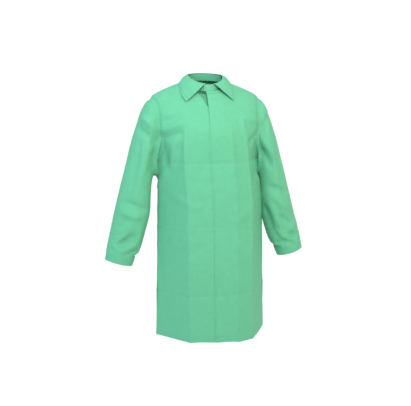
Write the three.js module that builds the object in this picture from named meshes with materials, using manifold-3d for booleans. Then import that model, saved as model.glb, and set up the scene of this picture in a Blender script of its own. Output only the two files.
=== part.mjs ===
// Disposable non-woven lab coat, closed, with the shape it has on a wearer.
// Millimetres, +Z up. The front of the coat faces -Y and the wearer's left is +X.
// The origin is in the middle of the neck opening, level with the side neck points.

import * as THREE from 'three';
import { mergeVertices } from 'three/addons/utils/BufferGeometryUtils.js';
import Module from 'manifold-3d';

// ---- driving dimensions ----

// The body is a stack of level ovals: depth below the side neck point, half width, half depth,
// and how far the oval's middle lies in front of the neck's.
const HALF_WIDTH = 219;       // half of the width across the shoulder tips
const COAT_LENGTH = 990;
const NECK = { halfWidth: 62, halfDepth: 56, forward: 0 };
const COLLAR_EDGE = { z: -5, halfWidth: 100, halfDepth: 67, forward: 1 };
const SHOULDER = { z: -54, halfWidth: HALF_WIDTH - 5, halfDepth: 96, forward: 3 };
const SHOULDER_TIP = { z: -76, halfWidth: HALF_WIDTH, halfDepth: 107, forward: 5 };
const UPPER_CHEST = { z: -112, halfWidth: HALF_WIDTH - 1, halfDepth: 120, forward: 8 };
const ARMPIT = { z: -268, halfWidth: HALF_WIDTH - 11, halfDepth: 144, forward: 14 };
const WAIST = { z: -420, halfWidth: HALF_WIDTH - 10, halfDepth: 144, forward: 20 };
const HIP = { z: -640, halfWidth: HALF_WIDTH - 6, halfDepth: 150, forward: 24 };
const HEM = { z: -COAT_LENGTH, halfWidth: HALF_WIDTH + 1, halfDepth: 162, forward: 26 };

const FRONT_NECK_DROP = 32;   // how far the neckline dips at the front
const BACK_NECK_RISE = 8;     // and how far it rises at the back
const NECK_TILT_FADES_AT = -200;

const CLOTH = 2;              // thickness that stands in for the cloth
const GAP = 0.4;              // clearance between neighbouring pieces
const ARMHOLE_ROOM = 1;       // clearance between a sleeve's head and the body
const LAP = 40;               // width that the two fronts share at the centre
const LAP_RAMP = 32;          // width over which the upper front climbs over the lower one

const TAPE = { width: 20, height: 30, thickness: 1.2 };  // hook-and-loop patch
const TAPE_GAP = 0.9;                                    // clearance on each side of a patch
const TAPE_ROWS = [-78, -300, -520, -740];               // height of each pair of patches

// Each front folds open along a straight line from beside the neck to the side of the hem.
const FOLD_TOP = { x: 66, z: -168 };
const FOLD_HEM = { x: 176, z: -COAT_LENGTH };

const STAND_HEIGHT = 24;
const STAND_LEAN = 3;         // how far the stand leans in at its top
const STAND_LIFT = 1;         // the stand's lower edge above the neckline
const STAND_LAP_ROOM = 0.04;  // radians by which its lifted end reaches past the front's
const LEAF_FALL = 24;         // how far the collar leaf reaches below its fold at the sides
const LEAF_POINT_FALL = 66;   // and at its two front points
const LEAF_SPREAD = 42;       // how far the leaf's edge stands out from the neckline
const LEAF_POINT_SPREAD = 62;
const LEAF_FRONT_ANGLE = 16;  // degrees from the centre front to the leaf's front end
const LEAF_POINT_ANGLE = 40;  // and to its point
const LEAF_SPLIT_ANGLE = 97;  // degrees from the centre front where a front leaf meets the back leaf
const LEAF_SPLIT_ROOM = 1.5;  // degrees left free there, so that the front leaf can turn up

const CUFF_ELASTIC = { width: 12, thickness: 1.2, fromEdge: 10 };
const ELBOW_BEND = 60;        // degrees
const ELBOW_PIVOT = 0.62;     // how far the elbow's fold lies from the sleeve's middle to its front

const COLOURS = {
  cloth: 0x6fd3a4,
  elastic: 0x8fd9b8,
  tape: 0xdfeee6,
};

// A sleeve is a stack of ovals too. Each has an outer and an inner point, as [out, up] from the
// shoulder tip in the plane y = 0, a half depth and how far its middle lies in front of that plane.
const SLEEVE = [
  { outer: [-61, 18], inner: [-61, -186], halfDepth: 62, forward: 0 },
  { outer: [-3, 15], inner: [-15, -194], halfDepth: 66, forward: 0 },
  { outer: [24, -16], inner: [-9, -212], halfDepth: 72, forward: 0 },
  { outer: [43, -64], inner: [-6, -226], halfDepth: 76, forward: 0 },
  { outer: [69, -139], inner: [-3, -252], halfDepth: 77, forward: 0 },
  { outer: [93, -224], inner: [2, -286], halfDepth: 75, forward: 2 },
  { outer: [114, -296], inner: [7, -330], halfDepth: 71, forward: 4 },
  { outer: [134, -370], inner: [13, -400], halfDepth: 68, forward: 7 },
  { outer: [153, -444], inner: [29, -470], halfDepth: 65, forward: 11 },
  { outer: [170, -512], inner: [49, -540], halfDepth: 60, forward: 16 },
  { outer: [183, -566], inner: [71, -596], halfDepth: 52, forward: 21 },
  { outer: [188, -592], inner: [82, -624], halfDepth: 45, forward: 24 },
];
const ELBOW_SECTION = 7.3;    // place of the elbow along the list of sleeve ovals

const BODY_ROWS = 22;
const BACK_COLUMNS = 22;
const FRONT_COLUMNS = 14;
const SLEEVE_SIDES = 20;

// ---- solids ----

const wasm = await Module();
wasm.setup();

// The same shape with its shared corners joined, and positions only.
function welded(geometry) {
  const bare = geometry.clone();
  bare.deleteAttribute('normal');
  bare.deleteAttribute('uv');
  return mergeVertices(bare, 1e-4);
}

function toSolid(geometry) {
  const merged = welded(geometry);
  const mesh = new wasm.Mesh({
    numProp: 3,
    vertProperties: new Float32Array(merged.attributes.position.array),
    triVerts: new Uint32Array(merged.index.array),
  });
  return new wasm.Manifold(mesh);
}

function toGeometry(solid) {
  const mesh = solid.getMesh();
  const geometry = new THREE.BufferGeometry();
  geometry.setAttribute('position', new THREE.BufferAttribute(mesh.vertProperties, 3));
  geometry.setIndex(new THREE.BufferAttribute(mesh.triVerts, 1));
  geometry.computeVertexNormals();
  return geometry;
}

function cut(geometry, ...tools) {
  let solid = toSolid(geometry);
  for (const tool of tools) {
    solid = solid.subtract(toSolid(tool));
  }
  return toGeometry(solid);
}

function common(geometry, tool) {
  return toGeometry(toSolid(geometry).intersect(toSolid(tool)));
}

// A closed sheet from a grid of outer points and a grid of inner points, both [row][column].
function sheetGeometry(outer, inner, closedAround = false) {
  const rows = outer.length;
  const columns = outer[0].length;
  const points = [...outer.flat(), ...inner.flat()];
  const at = (side, r, c) => (side * rows + r) * columns + (c % columns);
  const faces = [];
  const quad = (a, b, c, d) => faces.push(a, b, c, a, c, d);
  const steps = closedAround ? columns : columns - 1;
  for (let c = 0; c < steps; c += 1) {
    for (let r = 0; r < rows - 1; r += 1) {
      quad(at(0, r, c), at(0, r, c + 1), at(0, r + 1, c + 1), at(0, r + 1, c));
      quad(at(1, r, c), at(1, r + 1, c), at(1, r + 1, c + 1), at(1, r, c + 1));
    }
    quad(at(0, 0, c), at(1, 0, c), at(1, 0, c + 1), at(0, 0, c + 1));
    quad(at(0, rows - 1, c), at(0, rows - 1, c + 1), at(1, rows - 1, c + 1), at(1, rows - 1, c));
  }
  if (!closedAround) {
    for (let r = 0; r < rows - 1; r += 1) {
      quad(at(0, r, 0), at(0, r + 1, 0), at(1, r + 1, 0), at(1, r, 0));
      const last = columns - 1;
      quad(at(0, r, last), at(1, r, last), at(1, r + 1, last), at(0, r + 1, last));
    }
  }
  return facingOut(points, faces);
}

// A filled solid from rings of points, closed by a fan at each end.
function plugGeometry(rings) {
  const sides = rings[0].length;
  const points = rings.flat();
  const first = points.length;
  for (const ring of [rings[0], rings.at(-1)]) {
    const middle = ring.reduce((sum, p) => sum.add(p), new THREE.Vector3());
    points.push(middle.divideScalar(sides));
  }
  const faces = [];
  for (let c = 0; c < sides; c += 1) {
    const next = (c + 1) % sides;
    for (let r = 0; r < rings.length - 1; r += 1) {
      const low = r * sides;
      const high = low + sides;
      faces.push(low + c, low + next, high + next, low + c, high + next, high + c);
    }
    const top = (rings.length - 1) * sides;
    faces.push(first, next, c, first + 1, top + c, top + next);
  }
  return facingOut(points, faces);
}

function facingOut(points, faces) {
  let volume = 0;
  for (let i = 0; i < faces.length; i += 3) {
    const [a, b, c] = [points[faces[i]], points[faces[i + 1]], points[faces[i + 2]]];
    volume += a.dot(b.clone().cross(c));
  }
  const order = volume < 0 ? faces.slice().reverse() : faces;
  const geometry = new THREE.BufferGeometry().setFromPoints(points);
  geometry.setIndex(order);
  geometry.computeVertexNormals();
  return geometry;
}

// A smooth curve through a list of values at rising places. It never passes a value's neighbours.
function smoothThrough(places, values, place) {
  let i = 0;
  while (i < places.length - 2 && place > places[i + 1]) {
    i += 1;
  }
  const rise = (k) => (values[k + 1] - values[k]) / (places[k + 1] - places[k]);
  const slope = (k) => {
    if (k === 0 || k === places.length - 1) {
      return rise(Math.min(k, places.length - 2));
    }
    const product = rise(k - 1) * rise(k);
    return product > 0 ? (2 * product) / (rise(k - 1) + rise(k)) : 0;
  };
  const span = places[i + 1] - places[i];
  const t = (place - places[i]) / span;
  const t2 = t * t;
  const t3 = t2 * t;
  return values[i] * (2 * t3 - 3 * t2 + 1)
    + slope(i) * span * (t3 - 2 * t2 + t)
    + values[i + 1] * (3 * t2 - 2 * t3)
    + slope(i + 1) * span * (t3 - t2);
}

function smoothStep(place, from, to) {
  const t = THREE.MathUtils.clamp((place - from) / (to - from), 0, 1);
  return t * t * (3 - 2 * t);
}

// Moves each point of a surface along its normal. The surface is a function of two numbers.
function offsetPoint(surface, u, v, offset) {
  const step = 1e-3;
  const along = surface(u + step, v).sub(surface(u - step, v));
  const across = surface(u, v + step).sub(surface(u, v - step));
  const normal = along.cross(across).normalize();
  return surface(u, v).addScaledVector(normal, offset);
}

// ---- the body's shape ----

const STATIONS = [
  HEM, HIP, WAIST, ARMPIT, UPPER_CHEST, SHOULDER_TIP, SHOULDER, COLLAR_EDGE, { z: 0, ...NECK },
];
const STATION_PLACES = STATIONS.map((station, i) => i);

// u is the angle round the body from the centre front towards the wearer's left, in radians.
// v runs from 0 at the hem to STATIONS.length - 1 at the neckline.
function bodySurface(u, v) {
  const value = (key) => smoothThrough(STATION_PLACES, STATIONS.map((s) => s[key]), v);
  const x = value('halfWidth') * Math.sin(u);
  const y = -value('halfDepth') * Math.cos(u) - value('forward');
  const tilt = smoothStep(value('z'), NECK_TILT_FADES_AT, 0);
  const slope = y < 0 ? FRONT_NECK_DROP / NECK.halfDepth : BACK_NECK_RISE / NECK.halfDepth;
  return new THREE.Vector3(x, y, value('z') + tilt * slope * y);
}

const TOP = STATIONS.length - 1;

// Where a level oval at v reaches a given x on the front of the body.
function angleAtX(x, v) {
  const halfWidth = smoothThrough(STATION_PLACES, STATIONS.map((s) => s.halfWidth), v);
  return Math.asin(THREE.MathUtils.clamp(x / halfWidth, -1, 1));
}

// The angle of the side seam's edge, half a gap in front of or behind the body's widest line.
function sideAngle(v) {
  const halfDepth = smoothThrough(STATION_PLACES, STATIONS.map((s) => s.halfDepth), v);
  return Math.acos(GAP / 2 / halfDepth);
}

// The place of a height on the centre front, found by halving.
function placeAtHeight(z) {
  let low = 0;
  let high = TOP;
  for (let i = 0; i < 40; i += 1) {
    const middle = (low + high) / 2;
    if (bodySurface(0, middle).z < z) {
      low = middle;
    } else {
      high = middle;
    }
  }
  return low;
}

// Rows are spaced evenly between neighbouring stations, two or more for each.
function bodyRows() {
  const rows = [];
  for (let i = 0; i <= BODY_ROWS; i += 1) {
    rows.push((i / BODY_ROWS) * TOP);
  }
  return rows;
}

// How far the upper front stands off the body: over the lower front and the patches between.
const LAP_LIFT = CLOTH + 3 * TAPE_GAP + 2 * TAPE.thickness;

function lapLift(x) {
  return LAP_LIFT * (1 - smoothStep(x, LAP / 2 + GAP, LAP / 2 + GAP + LAP_RAMP));
}

function bodyPanel(edges, columns, lift) {
  const grid = (depth) => bodyRows().map((v) => {
    const [from, to] = edges(v);
    const row = [];
    for (let c = 0; c <= columns; c += 1) {
      const u = THREE.MathUtils.lerp(from, to, c / columns);
      const raised = lift(bodySurface(u, v).x);
      row.push(offsetPoint(bodySurface, u, v, raised - depth));
    }
    return row;
  });
  return sheetGeometry(grid(0), grid(CLOTH));
}

// The space inside the body's outer surface, grown by a margin.
function bodyPlug(margin) {
  const sides = 2 * BACK_COLUMNS;
  const rings = bodyRows().map((v) => {
    const ring = [];
    for (let c = 0; c < sides; c += 1) {
      ring.push(offsetPoint(bodySurface, (c / sides) * 2 * Math.PI, v, margin));
    }
    return ring;
  });
  return plugGeometry(rings);
}

// ---- sleeves, made on the wearer's left and mirrored for the right ----

// u is the angle round the sleeve and v the place along the list of sleeve ovals.
function sleeveSurface(u, v) {
  const places = SLEEVE.map((oval, i) => i);
  const value = (read) => smoothThrough(places, SLEEVE.map(read), v);
  const tip = new THREE.Vector3(SHOULDER_TIP.halfWidth, 0, SHOULDER_TIP.z);
  const outer = new THREE.Vector3(value((o) => o.outer[0]), 0, value((o) => o.outer[1])).add(tip);
  const inner = new THREE.Vector3(value((o) => o.inner[0]), 0, value((o) => o.inner[1])).add(tip);
  const middle = outer.clone().add(inner).multiplyScalar(0.5);
  const reach = outer.sub(inner).multiplyScalar(0.5);
  const depth = value((o) => o.halfDepth);
  middle.y = -value((o) => o.forward);
  return middle
    .addScaledVector(reach, Math.cos(u))
    .add(new THREE.Vector3(0, -depth * Math.sin(u), 0));
}

const CUFF = SLEEVE.length - 1;

// The sleeve's middle and its half depth at a place.
function sleeveMiddle(v) {
  const back = sleeveSurface(-Math.PI / 2, v);
  const front = sleeveSurface(Math.PI / 2, v);
  return { middle: back.clone().add(front).multiplyScalar(0.5), halfDepth: (back.y - front.y) / 2 };
}

// Half of the V-shaped room at the front of the elbow, as a distance along the sleeve.
function elbowRoom(y) {
  const { middle, halfDepth } = sleeveMiddle(ELBOW_SECTION);
  const pivot = middle.y - ELBOW_PIVOT * halfDepth;
  const ahead = Math.max(pivot - y, 0);
  return GAP / 2 + ahead * Math.tan(THREE.MathUtils.degToRad(ELBOW_BEND / 2));
}

// Turns a distance along the sleeve near the elbow into a share of an oval's spacing.
function elbowShare(distance) {
  const step = sleeveMiddle(ELBOW_SECTION + 0.5).middle.distanceTo(
    sleeveMiddle(ELBOW_SECTION - 0.5).middle,
  );
  return distance / step;
}

function sleeveTube(from, to, rows) {
  const grid = (depth) => {
    const rings = [];
    for (let r = 0; r <= rows; r += 1) {
      const ring = [];
      for (let c = 0; c < SLEEVE_SIDES; c += 1) {
        const u = (c / SLEEVE_SIDES) * 2 * Math.PI;
        const v = THREE.MathUtils.lerp(from(u), to(u), r / rows);
        ring.push(offsetPoint(sleeveSurface, u, v, -depth));
      }
      rings.push(ring);
    }
    return rings;
  };
  return sheetGeometry(grid(0), grid(CLOTH), true);
}

// The space inside a sleeve's head, which cuts the armhole.
function armholePlug() {
  const rings = [];
  for (let v = 0; v <= 3; v += 0.5) {
    const ring = [];
    for (let c = 0; c < SLEEVE_SIDES; c += 1) {
      ring.push(offsetPoint(sleeveSurface, (c / SLEEVE_SIDES) * 2 * Math.PI, v, -CLOTH));
    }
    rings.push(ring);
  }
  return plugGeometry(rings);
}

function sleeveUpper() {
  const end = (u) => ELBOW_SECTION - elbowShare(elbowRoom(sleeveSurface(u, ELBOW_SECTION).y));
  return cut(sleeveTube(() => 0, end, 13), bodyPlug(ARMHOLE_ROOM));
}

function sleeveLower() {
  const start = (u) => ELBOW_SECTION + elbowShare(elbowRoom(sleeveSurface(u, ELBOW_SECTION).y));
  return sleeveTube(start, () => CUFF, 7);
}

// The elastic lies inside the end of the sleeve.
function cuffElastic() {
  const spacing = sleeveMiddle(CUFF).middle.distanceTo(sleeveMiddle(CUFF - 1).middle);
  const to = CUFF - CUFF_ELASTIC.fromEdge / spacing;
  const from = to - CUFF_ELASTIC.width / spacing;
  const ringAt = (v, depth) => {
    const ring = [];
    for (let c = 0; c < SLEEVE_SIDES; c += 1) {
      ring.push(offsetPoint(sleeveSurface, (c / SLEEVE_SIDES) * 2 * Math.PI, v, -depth));
    }
    return ring;
  };
  const near = CLOTH + GAP;
  const far = near + CUFF_ELASTIC.thickness;
  return sheetGeometry(
    [ringAt(from, near), ringAt(to, near)],
    [ringAt(from, far), ringAt(to, far)],
    true,
  );
}

// ---- the body's panels ----

// A flat outline in X and Z, drawn through the whole depth of the coat's front.
function frontBlock(outline) {
  const shape = new THREE.Shape(outline.map(([x, z]) => new THREE.Vector2(x, z)));
  const depth = HEM.halfDepth * 2;
  const geometry = new THREE.ExtrudeGeometry(shape, { depth, bevelEnabled: false });
  geometry.rotateX(Math.PI / 2);
  return geometry;
}

// The part of a front that folds open, on the wearer's left, with its edge moved out by a margin.
function flapBlock(margin) {
  const slope = (FOLD_HEM.x - FOLD_TOP.x) / (FOLD_HEM.z - FOLD_TOP.z);
  const below = 2 * COAT_LENGTH;
  const top = FOLD_TOP.z + margin;
  const foldX = (z) => FOLD_TOP.x + slope * (z - FOLD_TOP.z) + margin;
  return frontBlock([[-LAP, top], [-LAP, -below], [foldX(-below), -below], [foldX(top), top]]);
}

function mirrored(geometry) {
  const copy = welded(geometry);
  copy.scale(-1, 1, 1);
  const order = Array.from(copy.index.array).reverse();
  copy.setIndex(order);
  copy.computeVertexNormals();
  return copy;
}

function backPanel(armholes) {
  const edges = (v) => [sideAngle(v), 2 * Math.PI - sideAngle(v)];
  return cut(bodyPanel(edges, BACK_COLUMNS, () => 0), ...armholes);
}

// The wearer's left front laps over the right one by half of LAP past the centre.
function leftFront(armhole) {
  const edges = (v) => [angleAtX(-LAP / 2, v), sideAngle(v)];
  return cut(bodyPanel(edges, FRONT_COLUMNS, lapLift), armhole);
}

function rightFront(armhole) {
  const edges = (v) => [-sideAngle(v), angleAtX(LAP / 2, v)];
  return cut(bodyPanel(edges, FRONT_COLUMNS, () => 0), armhole);
}

// One hook-and-loop patch, at a height, between two distances off the body's surface.
function tapePatch(z, near, far) {
  const half = TAPE.width / 2;
  const rows = [placeAtHeight(z - TAPE.height / 2), placeAtHeight(z + TAPE.height / 2)];
  const grid = (offset) => rows.map((v) => [-half, 0, half].map(
    (x) => offsetPoint(bodySurface, angleAtX(x, v), v, offset),
  ));
  return sheetGeometry(grid(far), grid(near));
}

// ---- the collar ----

// The neckline, at an angle from the centre front, and the directions out from it.
function neckPoint(angle) {
  return bodySurface(angle, TOP);
}

function outFrom(angle) {
  return new THREE.Vector3(Math.sin(angle), -Math.cos(angle), 0);
}

// u is the angle round the neck and v runs from 0 at the lower edge to 1 at the top.
function standSurface(u, v) {
  const lapEnd = Math.asin((LAP / 2 + GAP + LAP_RAMP) / NECK.halfWidth) + STAND_LAP_ROOM;
  const lift = LAP_LIFT * (1 - smoothStep(u, 0, lapEnd));
  return neckPoint(u)
    .addScaledVector(outFrom(u), lift - STAND_LEAN * v)
    .add(new THREE.Vector3(0, 0, STAND_LIFT + lift * (1 - v) + STAND_HEIGHT * v));
}

// The stand's end on the wearer's left laps over its other end, as the fronts do.
function collarStand() {
  const half = Math.asin(LAP / 2 / NECK.halfWidth);
  const columns = 34;
  const grid = (depth) => [0, 1].map((v) => {
    const row = [];
    for (let c = 0; c <= columns; c += 1) {
      const u = THREE.MathUtils.lerp(-half, 2 * Math.PI + half, c / columns);
      row.push(offsetPoint(standSurface, u, v, -depth));
    }
    return row;
  });
  return sheetGeometry(grid(0), grid(CLOTH));
}

// The share of a leaf's extra fall at an angle: 1 at its point and 0 from the shoulder back.
function pointShare(angle) {
  const degrees = THREE.MathUtils.radToDeg(angle);
  return 1 - smoothStep(degrees, LEAF_POINT_ANGLE, 80);
}

// The leaf from its fold, v = 0, down to its edge, v = 1, on the wearer's left.
function leafSurface(u, v) {
  const share = pointShare(u);
  const start = LAP_LIFT + CLOTH + GAP - STAND_LEAN;
  const spread = THREE.MathUtils.lerp(LEAF_SPREAD, LEAF_POINT_SPREAD, share);
  const fall = THREE.MathUtils.lerp(LEAF_FALL, LEAF_POINT_FALL, share);
  const out = start + (spread - start) * Math.sin(v * Math.PI / 2);
  const down = fall * (0.35 * v + 0.65 * v * v);
  return neckPoint(u)
    .addScaledVector(outFrom(u), out)
    .add(new THREE.Vector3(0, 0, STAND_LIFT + STAND_HEIGHT - down));
}

function leafPiece(fromFold, fromEdge, to, columns) {
  const rows = 5;
  const grid = (depth) => {
    const lines = [];
    for (let r = 0; r <= rows; r += 1) {
      const line = [];
      const from = THREE.MathUtils.lerp(fromFold, fromEdge, r / rows);
      for (let c = 0; c <= columns; c += 1) {
        const u = THREE.MathUtils.degToRad(THREE.MathUtils.lerp(from, to, c / columns));
        line.push(offsetPoint(leafSurface, u, r / rows, -depth));
      }
      lines.push(line);
    }
    return lines;
  };
  return sheetGeometry(grid(CLOTH), grid(0));
}

function leafFront() {
  return leafPiece(LEAF_FRONT_ANGLE, LEAF_POINT_ANGLE, LEAF_SPLIT_ANGLE, 8);
}

function leafBack() {
  const from = LEAF_SPLIT_ANGLE + LEAF_SPLIT_ROOM;
  return leafPiece(from, from, 360 - from, 14);
}

// ---- the coat ----

const coat = new THREE.Group();

function material(colour, roughness) {
  return new THREE.MeshStandardMaterial({ color: colour, roughness, metalness: 0 });
}

function add(name, geometry, colour, roughness = 0.85) {
  const mesh = new THREE.Mesh(geometry, material(colour, roughness));
  mesh.name = name;
  coat.add(mesh);
}

const armholeLeft = armholePlug();
const armholeRight = mirrored(armholeLeft);
const flap = flapBlock(0);
const flapRoom = flapBlock(GAP);

add('back_panel', backPanel([armholeLeft, armholeRight]), COLOURS.cloth);

const frontLeft = leftFront(armholeLeft);
add('front_left_side', cut(frontLeft, flapRoom), COLOURS.cloth);
add('front_left_flap', common(frontLeft, flap), COLOURS.cloth);

const frontRight = rightFront(armholeRight);
add('front_right_side', cut(frontRight, mirrored(flapRoom)), COLOURS.cloth);
add('front_right_flap', common(frontRight, mirrored(flap)), COLOURS.cloth);

TAPE_ROWS.forEach((z, i) => {
  const hookTop = TAPE_GAP + TAPE.thickness;
  const loopBottom = hookTop + TAPE_GAP;
  add(`hook_patch_${i + 1}`, tapePatch(z, TAPE_GAP, hookTop), COLOURS.tape, 0.9);
  add(`loop_patch_${i + 1}`, tapePatch(z, loopBottom, loopBottom + TAPE.thickness), COLOURS.tape, 0.95);
});

const upper = sleeveUpper();
add('sleeve_left_upper', upper, COLOURS.cloth);
add('sleeve_right_upper', mirrored(upper), COLOURS.cloth);

const lower = sleeveLower();
add('sleeve_left_lower', lower, COLOURS.cloth);
add('sleeve_right_lower', mirrored(lower), COLOURS.cloth);

const elastic = cuffElastic();
add('cuff_elastic_left', elastic, COLOURS.elastic, 0.7);
add('cuff_elastic_right', mirrored(elastic), COLOURS.elastic, 0.7);

add('collar_stand', collarStand(), COLOURS.cloth);
add('collar_leaf_back', leafBack(), COLOURS.cloth);

const leaf = leafFront();
add('collar_leaf_left', leaf, COLOURS.cloth);
add('collar_leaf_right', mirrored(leaf), COLOURS.cloth);

export default coat;
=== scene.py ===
# Looks of a disposable non-woven lab coat: its cloth pieces, seams, tapes and studio.
# Metres, +Z up. The front faces -Y, the wearer's left is +X, and the origin is in the neck opening.

import math

import bmesh
import bpy
import numpy as np
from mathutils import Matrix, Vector, noise


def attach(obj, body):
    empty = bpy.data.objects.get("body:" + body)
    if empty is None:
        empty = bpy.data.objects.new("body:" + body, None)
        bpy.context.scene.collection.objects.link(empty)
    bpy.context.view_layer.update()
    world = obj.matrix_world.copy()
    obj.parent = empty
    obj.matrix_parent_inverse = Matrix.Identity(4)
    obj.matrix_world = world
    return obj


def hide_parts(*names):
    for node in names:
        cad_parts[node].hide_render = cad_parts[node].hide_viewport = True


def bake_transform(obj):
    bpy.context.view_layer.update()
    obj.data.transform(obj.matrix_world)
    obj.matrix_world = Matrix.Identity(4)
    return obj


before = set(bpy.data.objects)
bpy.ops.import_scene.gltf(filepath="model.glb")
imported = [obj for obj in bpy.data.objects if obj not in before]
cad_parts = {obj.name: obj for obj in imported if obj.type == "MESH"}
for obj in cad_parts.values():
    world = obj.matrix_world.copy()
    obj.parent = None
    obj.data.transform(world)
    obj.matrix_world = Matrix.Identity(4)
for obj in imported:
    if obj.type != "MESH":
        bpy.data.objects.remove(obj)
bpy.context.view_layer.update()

# ---- sizes ----

# Level ovals of the body: height, half width, half depth, distance in front of the neck's middle.
STATIONS = np.array([
    (-0.990, 0.220, 0.162, 0.026),
    (-0.640, 0.213, 0.150, 0.024),
    (-0.420, 0.209, 0.144, 0.020),
    (-0.268, 0.208, 0.144, 0.014),
    (-0.112, 0.218, 0.120, 0.008),
    (-0.076, 0.219, 0.107, 0.005),
    (-0.054, 0.214, 0.096, 0.003),
    (-0.005, 0.100, 0.067, 0.001),
    (0.000, 0.062, 0.056, 0.000),
])
TOP = len(STATIONS) - 1
HEM_Z = STATIONS[0, 0]
NECK_HALF_WIDTH, NECK_HALF_DEPTH = STATIONS[TOP, 1:3]
FRONT_NECK_SLOPE = 0.032 / NECK_HALF_DEPTH
BACK_NECK_SLOPE = 0.008 / NECK_HALF_DEPTH
NECK_TILT_FADES_AT = -0.200

# Ovals of the left sleeve: outer x and z, inner x and z, half depth, distance forward.
SLEEVE = np.array([
    (0.158, -0.058, 0.158, -0.262, 0.062, 0.000),
    (0.216, -0.061, 0.204, -0.270, 0.066, 0.000),
    (0.243, -0.092, 0.210, -0.288, 0.072, 0.000),
    (0.262, -0.140, 0.213, -0.302, 0.076, 0.000),
    (0.288, -0.215, 0.218, -0.328, 0.077, 0.000),
    (0.312, -0.300, 0.226, -0.362, 0.075, 0.002),
    (0.333, -0.372, 0.230, -0.406, 0.071, 0.004),
    (0.353, -0.446, 0.232, -0.476, 0.068, 0.007),
    (0.372, -0.520, 0.248, -0.546, 0.065, 0.011),
    (0.389, -0.588, 0.268, -0.616, 0.060, 0.016),
    (0.402, -0.642, 0.290, -0.672, 0.052, 0.021),
    (0.407, -0.668, 0.301, -0.700, 0.045, 0.024),
])
CUFF = len(SLEEVE) - 1
ELBOW = np.array((0.2972, -0.0081, -0.4827))
ARM_DIRECTION = np.array((0.2315, 0.0, -0.973))
FOREARM_DIRECTION = np.array((0.38, 0.0, -0.925))
SLEEVE_SPLIT = ELBOW - ARM_DIRECTION * 0.06     # where the sleeve's two pieces meet

THICKNESS = 0.0006
COLLAR_THICKNESS = 0.0008
LAYER_GAP = 0.0003
VOXEL = 0.0078          # size of the cells that the coat's surface is first made from
END_MARGIN = 0.016      # cloth left past each open end until it is trimmed
HEM_WIDTH = 0.024       # from the hem to its row of stitches
CUFF_HEM = 0.026
TURNING_PAST_STITCHES = 0.002
CUFF_TURNING = 0.006    # the second layer at a cuff, which ends short of the elastic
STITCH_INSET = 0.005
COLLAR_STITCH_INSET = 0.004
FACING = 0.040          # turned-in edge of each front
LAP = 0.024             # how far each front reaches past the centre
LAP_AT_NECK = 0.0135
LAP_RAMP = 0.034        # width over which the upper front rises over the lower one
LAP_LIFT = 0.0038
EDGE_LIFT = 0.0012      # what is left of that lift at the upper front's pressed edge
PRESSED_WIDTH = 0.011
FACING_END = HEM_Z + HEM_WIDTH + 0.003

TAPE_ROWS = (-0.078, -0.300, -0.520, -0.740)
TAPE_WIDTH, TAPE_HEIGHT, TAPE_THICKNESS = 0.020, 0.030, 0.0009
TAPE_GAP = 0.0002

# Creases left by the packet the coat was folded into.
FRONT_CREASES = (-0.118, 0.065, 0.132)
BACK_CREASES = (-0.125, -0.020, 0.125)
LEVEL_CREASES = (-0.296, -0.550, -0.808)
CREASE_FLATNESS = 0.85  # 1 would make the panels between the creases flat
PANEL_PUFF = 0.0035
UPRIGHT_CREASE = {"height": 0.0016, "width": 0.006}
LEVEL_CREASE = {"height": 0.0012, "width": 0.005}
CRUMPLE = 0.0016
SEAM_DIP = {"height": 0.0022, "width": 0.006}

# How the skirt hangs: sideways shift, widening, and the hem's rise and dip at the front.
SKIRT_SHIFT, SKIRT_WIDENING = 0.016, 0.006
HEM_RISE, HEM_DIP = 0.004, 0.007


# ---- the coat's surface ----

def smooth_through(table, place):
    """Rows of a table read at fractional places along a smooth curve that never overshoots."""
    place = np.atleast_1d(np.asarray(place, float))
    rise = np.diff(table, axis=0)
    product = rise[:-1] * rise[1:]
    total = rise[:-1] + rise[1:]
    inner = np.where(product > 0, 2 * product / np.where(total == 0, 1, total), 0)
    slope = np.vstack([rise[:1], inner, rise[-1:]])
    i = np.clip(np.floor(place).astype(int), 0, len(table) - 2)
    t = (place - i)[:, None]
    t2, t3 = t * t, t * t * t
    return (table[i] * (2 * t3 - 3 * t2 + 1) + slope[i] * (t3 - 2 * t2 + t)
            + table[i + 1] * (3 * t2 - 2 * t3) + slope[i + 1] * (t3 - t2))


def smooth_step(value, start, end):
    t = np.clip((np.asarray(value, float) - start) / (end - start), 0, 1)
    return t * t * (3 - 2 * t)


def neck_slope(y):
    return np.where(y < 0, FRONT_NECK_SLOPE, BACK_NECK_SLOPE)


def body_points(u, v):
    """Points of the body at angles from the centre front and places along its ovals."""
    z, half_width, half_depth, forward = smooth_through(STATIONS, v).T
    x = half_width * np.sin(u)
    y = -half_depth * np.cos(u) - forward
    tilt = smooth_step(z, NECK_TILT_FADES_AT, 0)
    return np.stack([x, y, z + tilt * neck_slope(y) * y], axis=1)


def body_ring(v, count):
    """One level oval of the body."""
    u = np.arange(count) / count * 2 * np.pi
    return body_points(u, np.full(count, v))


def sleeve_ring(v, count):
    """One oval of the left sleeve, leaning with the arm."""
    ox, oz, ix, iz, depth, forward = smooth_through(SLEEVE, v)[0]
    u = np.arange(count) / count * 2 * np.pi
    middle = np.array(((ox + ix) / 2, -forward, (oz + iz) / 2))
    reach = np.array(((ox - ix) / 2, 0, (oz - iz) / 2))
    return middle + np.outer(np.cos(u), reach) + np.outer(np.sin(u), (0, -depth, 0))


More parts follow.
